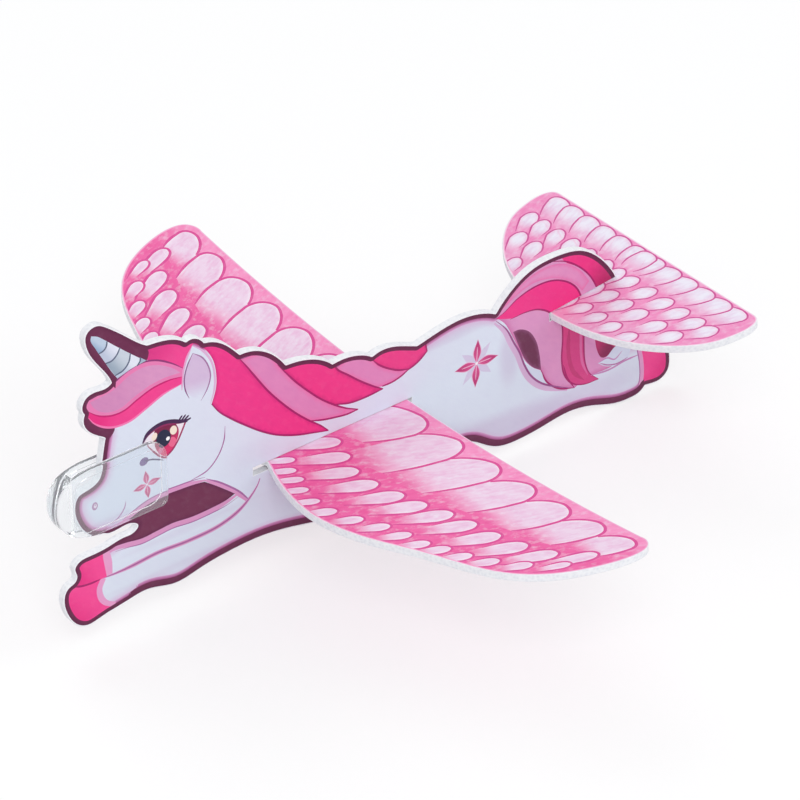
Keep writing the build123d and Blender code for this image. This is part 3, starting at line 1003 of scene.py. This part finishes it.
def wing_print():
    """Three rows of feathers on each half of the wing, each row over the tips of the one behind."""
    rear = fade("#F799C7", "#F06CAA", (-8, 30), (-19, 30))

    def ground(at, deep):
        moved = at + np.stack([np.interp(at[:, 1], [0, 25, 60, 82], [0, 2, -2, -9]), 0 * at[:, 1]], 1)
        return rear(moved, deep)

    art = Artwork(ground, 1)
    long_feathers = [
        # inner end, shoulder, tip, notch
        ((-10.6, 76.6), (-3.6, 79.4), (-0.9, 76.4), (-5.2, 70.6)),
        ((-14.2, 66.2), (-4.6, 70.3), (-1.1, 66.7), (-6.2, 60.4)),
        ((-16.4, 56), (-6.2, 60.2), (-1.5, 55.8), (-6.4, 49.2)),
        ((-18.4, 44), (-6.8, 48.9), (-1.4, 45), (-7, 37.8)),
        ((-20.6, 31.7), (-6.8, 37.4), (-1.5, 33.3), (-7.6, 25)),
        ((-22.2, 20), (-7.8, 24.9), (-1.5, 21), (-6.8, 12.9)),
        ((-18, 7.8), (-7.2, 12.8), (-1.7, 8.5), (-4.6, 0.3)),
    ]
    for corners in long_feathers:
        long_feather(art, ground, WING_PALE, corners, 0.72, FEATHER_LINE)
    middle_tips = [(-9.6, 76), (-15, 69.8), (-17.3, 63), (-18.8, 56), (-19.5, 49), (-20.6, 42.5),
                   (-22.4, 36), (-23.7, 29.8), (-25.1, 22.7), (-25.2, 16.1), (-23.1, 10.4),
                   (-21.2, 4.6)]
    for k, tip in enumerate(middle_tips):
        width = (3.1, 3.7, 4.2)[min(k, 2)] if k < 9 else 4.0
        angle = 23 if k == 0 else 28
        short_feather(art, ground, WING_PALE, tip, 13.5, width + 0.7, angle, 0.66, FEATHER_LINE)
    front_tips = [(-16, 74.9), (-21.6, 69.5), (-25.4, 63.5), (-28.1, 57.9), (-29.6, 52.7),
                  (-31.4, 48.1), (-32.1, 42.8), (-33.4, 37.2), (-35.9, 31.3), (-38.2, 25.2),
                  (-38.6, 19.8), (-37.8, 14.8), (-36.2, 11), (-35.4, 7.3), (-33.2, 3.9)]
    for k, tip in enumerate(front_tips):
        width = 2.7 if k == 0 or k > 9 else 3.3
        angle = 24 if k == 0 else 29
        short_feather(art, ground, WING_PALE, tip, 8.4, width, angle, 0.55, FEATHER_LINE)
    art.band(0.55, by_depth("#F6C3DD", "#F48ABE", 0.3, 0.6), 0.1)
    return art


def tail_print():
    """Four rows of short feathers, which fan out towards the tips."""
    ground = fade("#F0A6CD", "#F295C5", (8, 0), (14, 0))
    art = Artwork(ground, 0.9)
    code = "#CF5598"
    for out in (32.6, 27.6, 22, 16.4, 10.9, 5.4):
        lean = 0.05 * out
        corners = (
            (23.6 - 0.02 * out, out - 1.0 - lean),
            (29, out + 0.3 + 0.3 * lean),
            (31.3, out - 2),
            (30.1, out - 5.2),
        )
        long_feather(art, ground, TAIL_PALE, corners, 0.45, code)
    corners = ((23.6, 2), (29.2, 2.7), (31.4, 0), (31.3, -2))
    long_feather(art, ground, TAIL_PALE, corners, 0.45, code)
    rows = [
        (22.9, [31.7, 27.4, 22.2, 16.9, 11.2, 5.2, 0], 8.4, 4.4),
        (16.1, [27.5, 22.2, 16, 10.9, 6, 0.6], 8.4, 4.4),
        (8.8, [20.7, 15.3, 10.3, 5.3, 0], 7.2, 3.9),
    ]
    for along, places, length, width in rows:
        for out in places:
            angle = 24 * ease(out / 6) if out < 6 else 24
            spot = (along, out)
            short_feather(art, ground, TAIL_PALE, spot, length, width, float(angle), 0.42, code)
    art.band(0.5, by_depth("#F7DCEB", "#F3B2D4", 0.3, 0.5), 0.1)
    return art


# ---------------------------------------------------------------- materials


def new_material(name):
    """A material, its node tree and its Principled shader."""
    material = bpy.data.materials.new(name)
    material.use_nodes = True
    return material, material.node_tree, material.node_tree.nodes["Principled BSDF"]


def node(tree, kind, values=(), **settings):
    """A shader node. values pairs an input's name or number with a number, colour or output."""
    made = tree.nodes.new("ShaderNode" + kind)
    for key, value in settings.items():
        setattr(made, key, value)
    for key, value in values:
        if isinstance(value, bpy.types.NodeSocket):
            tree.links.new(value, made.inputs[key])
        else:
            made.inputs[key].default_value = value
    return made


def noise(tree, where, scale, detail, roughness=0.5):
    """Soft noise around 0.5."""
    values = [("Vector", where), ("Scale", scale), ("Detail", detail), ("Roughness", roughness)]
    return node(tree, "TexNoise", values).outputs["Fac"]


def sums(tree, operation, first, second):
    """Two values added, multiplied or compared."""
    return node(tree, "Math", [(0, first), (1, second)], operation=operation).outputs[0]


def ranged(tree, value, low, high, to_low, to_high):
    """A value between low and high, moved to the other range."""
    values = [("Value", value), ("From Min", low), ("From Max", high), ("To Min", to_low)]
    return node(tree, "MapRange", [*values, ("To Max", to_high)]).outputs["Result"]


def object_place(tree):
    """Where a point of the surface is, in metres."""
    return node(tree, "TexCoord").outputs["Object"]


def bumped(tree, shader, height, strength, distance):
    """Relief of that height on a shader."""
    values = [("Height", height), ("Strength", strength), ("Distance", distance)]
    tree.links.new(node(tree, "Bump", values).outputs["Normal"], shader.inputs["Normal"])


def foam_bump(tree, shader, strength):
    """The fine cells of pressed foam, as bump."""
    where = object_place(tree)
    cells = node(tree, "TexVoronoi", [("Vector", where), ("Scale", 1700.0)])
    grain = noise(tree, where, 900.0, 3.0)
    height = sums(tree, "ADD", cells.outputs["Distance"], grain)
    bumped(tree, shader, height, strength, 0.00004)
    return grain


def print_material(name, tint, turn, strength, speckle):
    """Printed foam: the print's colours, with the darker strokes and pale specks of a painting.

    The strokes run at that angle across the print, which is at the same place on both faces.
    """
    material, tree, shader = new_material(name)
    colour = node(tree, "VertexColor", layer_name="print").outputs["Color"]
    wash = node(tree, "Attribute", attribute_name="wash").outputs["Fac"]
    where = node(tree, "Attribute", attribute_name="drawn").outputs["Vector"]
    turned = node(tree, "Mapping", [("Vector", where), ("Rotation", (0, 0, -turn))]).outputs["Vector"]

    def streaks(along, across, detail, roughness=0.5):
        values = [("Vector", turned), ("Scale", (along, across, 1))]
        place = node(tree, "Mapping", values).outputs["Vector"]
        return noise(tree, place, 1.0, detail, roughness)

    tone = sums(tree, "ADD", streaks(220, 300, 5.0), streaks(330, 1100, 4.0))
    specks = streaks(420, 650, 6.0, 0.65)
    for amount, way, ink in (
        (ranged(tree, tone, 0.86, 1.28, 0.0, strength), "MULTIPLY", tint),
        (ranged(tree, specks, 0.5, 0.75, 0.0, speckle), "MIX", (0.88, 0.86, 0.93)),
    ):
        mixed = node(tree, "Mix", data_type="RGBA", blend_type=way)
        tree.links.new(sums(tree, "MULTIPLY", amount, wash), mixed.inputs["Factor"])
        tree.links.new(colour, mixed.inputs["A"])
        mixed.inputs["B"].default_value = (*ink, 1)
        colour = mixed.outputs["Result"]
    tree.links.new(colour, shader.inputs["Base Color"])
    gloss = ranged(tree, foam_bump(tree, shader, 0.25), 0.3, 0.7, 0.42, 0.58)
    tree.links.new(gloss, shader.inputs["Roughness"])
    shader.inputs["IOR"].default_value = 1.45
    shader.inputs["Specular IOR Level"].default_value = 0.25
    return material


def bare_foam():
    """The white cut edge of the foam sheet."""
    material, tree, shader = new_material("foam_cut_edge")
    cells = node(tree, "TexVoronoi", [("Vector", object_place(tree)), ("Scale", 1300.0)])
    ramp = node(tree, "ValToRGB", [("Fac", cells.outputs["Distance"])])
    wall, middle = ramp.color_ramp.elements
    wall.position, middle.position = 0.1, 0.7
    wall.color = (0.78, 0.79, 0.83, 1)
    middle.color = (0.88, 0.885, 0.905, 1)
    tree.links.new(ramp.outputs["Color"], shader.inputs["Base Color"])
    foam_bump(tree, shader, 0.5)
    shader.inputs["Roughness"].default_value = 0.7
    shader.inputs["Specular IOR Level"].default_value = 0.3
    return material


def either(tree, *rays):
    """1 for rays of these kinds, and 0 for others."""
    path = node(tree, "LightPath")
    found = path.outputs[rays[0]]
    for ray in rays[1:]:
        found = sums(tree, "MAXIMUM", found, path.outputs[ray])
    return found


def clear_plastic():
    """Clear moulded plastic with a slight grey-green tint, which lets the lamps reach the foam."""
    material, tree, shader = new_material("clear_plastic")
    shader.inputs["Base Color"].default_value = (0.93, 0.955, 0.97, 1)
    shader.inputs["Transmission Weight"].default_value = 0.92
    shader.inputs["IOR"].default_value = 1.3
    where = object_place(tree)
    haze = ranged(tree, noise(tree, where, 260.0, 3.0), 0.35, 0.7, 0.03, 0.14)
    tree.links.new(haze, shader.inputs["Roughness"])
    bumped(tree, shader, noise(tree, where, 120.0, 1.0), 0.25, 0.0002)
    window = node(tree, "BsdfTransparent", [("Color", (0.96, 0.975, 0.98, 1))])
    lit_through = either(tree, "Is Shadow Ray", "Is Diffuse Ray")
    shown = [(0, lit_through), (1, shader.outputs[0]), (2, window.outputs[0])]
    mix = node(tree, "MixShader", shown)
    tree.links.new(mix.outputs[0], tree.nodes["Material Output"].inputs["Surface"])
    return material


# ---------------------------------------------------------------- the four pieces

edge_foam = bare_foam()


def on_profile(points, depth):
    """Places and normals on the profile sheet."""
    x, z = points.T
    y = np.full(len(x), body_low.y / MM + depth)
    normals = np.broadcast_to(np.array([0.0, -1.0, 0.0]), (len(x), 3))
    return np.stack([x + shift_x, y, z + shift_z], 1), normals


profile_loops = face_loops("body", (0, -1, 0), lambda p: p[:, [0, 2]] - (shift_x, shift_z))

# The tailplane's plane and its front edge at the root, halfway through the sheet
TAIL_RISE = math.radians(6)
tail_low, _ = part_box("tailplane")
tail_along = np.array([math.cos(TAIL_RISE), 0, math.sin(TAIL_RISE)])
tail_up = np.array([-math.sin(TAIL_RISE), 0, math.cos(TAIL_RISE)])
lower_front = np.array([tail_low.x / MM + SHEET * math.sin(TAIL_RISE), 0, tail_low.z / MM])
tail_root = lower_front + SHEET / 2 * tail_up

# The print runs across the mouth of the tailplane's slot, so its outline leaves the slot out
SLOT_START, SLOT_END = -1, 25  # from the tailplane's front edge
from_root = profile_loops[0] - (tail_root[0] - shift_x, tail_root[2] - shift_z)
above = from_root @ tail_up[[0, 2]]
along = from_root @ tail_along[[0, 2]]
in_slot = (abs(above) < SHEET) & (along > SLOT_START) & (along < SLOT_END)

profile = printed_sheet(
    "printed_profile",
    profile_loops,
    profile_loops[0][~in_slot],
    on_profile,
    profile_print(),
    [print_material("profile_print", (0.86, 0.80, 0.92), math.radians(-40), 0.8, 0.07), edge_foam],
)
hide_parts("body")
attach(profile, "fuselage")

# The wing's faces are arcs about one axis
wing_low, wing_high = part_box("main_wing")
half_span = wing_high.y / MM
root_top = wing_low.z / MM + SHEET
tip_rise = wing_high.z / MM - root_top
top_radius = (half_span**2 + tip_rise**2) / (2 * tip_rise)


def on_wing(points, depth):
    """Places and normals on the bowed wing."""
    x, y = points.T
    radius = top_radius + depth
    drop = np.sqrt(radius**2 - y**2)
    z = root_top + top_radius - drop
    normals = np.stack([np.zeros(len(x)), -y / radius, drop / radius], 1)
    return np.stack([x + shift_x, y, z], 1), normals


wing_loops = face_loops("main_wing", (0, 0, 1), lambda p: p[:, :2] - (shift_x, 0))
wing = printed_sheet(
    "printed_wing",
    wing_loops,
    wing_loops[0],
    on_wing,
    wing_print(),
    [print_material("wing_print", (0.94, 0.66, 0.82), math.radians(24), 0.75, 0.55), edge_foam],
    folded=True,
)
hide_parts("main_wing")
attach(wing, "wing")


def on_tailplane(points, depth):
    """Places and normals on the flat tailplane."""
    along, out = points.T
    base = tail_root + (SHEET / 2 - depth) * tail_up
    places = base + along[:, None] * tail_along + out[:, None] * np.array([0.0, 1.0, 0.0])
    return places, np.broadcast_to(tail_up, (len(along), 3))


def tail_flat(places):
    """Distance along the tailplane and out from its middle."""
    return np.stack([(places - tail_root) @ tail_along, places[:, 1]], 1)


tail_loops = face_loops("tailplane", tail_up, tail_flat)
tailplane = printed_sheet(
    "printed_tailplane",
    tail_loops,
    tail_loops[0],
    on_tailplane,
    tail_print(),
    [print_material("tail_print", (0.92, 0.70, 0.84), math.radians(16), 0.75, 0.5), edge_foam],
    folded=True,
)
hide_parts("tailplane")
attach(tailplane, "tail")

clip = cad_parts["nose_weight"]
clip.data.materials.clear()
clip.data.materials.append(clear_plastic())


# ---------------------------------------------------------------- floor, light and camera

scene = bpy.context.scene
centre = (cad_low + cad_high) / 2
FLOOR_SIZE = 6
FLOOR_GAP = 0.0004  # keeps the floor just under the lowest point


def pale_floor():
    """A floor that looks white and keeps a soft shadow."""
    bpy.ops.mesh.primitive_plane_add(size=FLOOR_SIZE, location=(0, 0, cad_low.z - FLOOR_GAP))
    floor = bpy.context.object
    floor.name = "floor"
    material, tree, shader = new_material("floor_white")
    tree.nodes.remove(shader)
    seen = either(tree, "Is Camera Ray", "Is Glossy Ray", "Is Transmission Ray")
    matte = node(tree, "BsdfDiffuse", [("Color", (0.42, 0.42, 0.42, 1))])
    glow = node(tree, "Emission", [("Color", (1, 1, 1, 1)), ("Strength", 0.58)])
    shown = node(tree, "AddShader", [(0, matte.outputs[0]), (1, glow.outputs[0])])
    hidden = node(tree, "BsdfDiffuse", [("Color", (0.8, 0.8, 0.81, 1))])
    mix = node(tree, "MixShader", [(0, seen), (1, hidden.outputs[0]), (2, shown.outputs[0])])
    tree.links.new(mix.outputs[0], tree.nodes["Material Output"].inputs["Surface"])
    floor.data.materials.append(material)


def soft_lamp(name, place, size, power):
    """A square lamp that looks at the object."""
    data = bpy.data.lights.new(name, "AREA")
    data.size = size
    data.energy = power
    lamp = bpy.data.objects.new(name, data)
    lamp.location = centre + Vector(place)
    lamp.rotation_euler = (centre - lamp.location).to_track_quat("-Z", "Y").to_euler()
    scene.collection.objects.link(lamp)


pale_floor()
soft_lamp("key_lamp", (-0.55, -0.75, 0.85), 0.7, 5.5)
soft_lamp("fill_lamp", (0.9, -0.6, 0.5), 0.8, 2.5)
soft_lamp("back_lamp", (0.1, 1.0, 0.9), 0.8, 3.0)

world = bpy.data.worlds.new("studio")
world.use_nodes = True
background = world.node_tree.nodes["Background"]
background.inputs["Color"].default_value = (0.97, 0.98, 1.0, 1)
background.inputs["Strength"].default_value = 0.66
scene.world = world
scene.view_settings.view_transform = "Standard"

CAMERA_AZIMUTH = math.radians(-38.5)
CAMERA_HEIGHT = math.radians(34)
CAMERA_DISTANCE = 0.9
AIM_X, AIM_Z = -0.001535, 0.000966  # what the camera looks at, from the drawing's origin
look_at = Vector((AIM_X + shift_x * MM, 0, AIM_Z + shift_z * MM))
camera_data = bpy.data.cameras.new("camera")
camera_data.sensor_width = 36
camera_data.lens = 184.1
camera = bpy.data.objects.new("camera", camera_data)
level = math.cos(CAMERA_HEIGHT)
back = Vector((math.sin(CAMERA_AZIMUTH) * level, -math.cos(CAMERA_AZIMUTH) * level, 0))
back.z = math.sin(CAMERA_HEIGHT)
camera.location = look_at + CAMERA_DISTANCE * back
camera.rotation_mode = "QUATERNION"
camera.rotation_quaternion = (-back).to_track_quat("-Z", "Y")
scene.collection.objects.link(camera)
scene.camera = camera
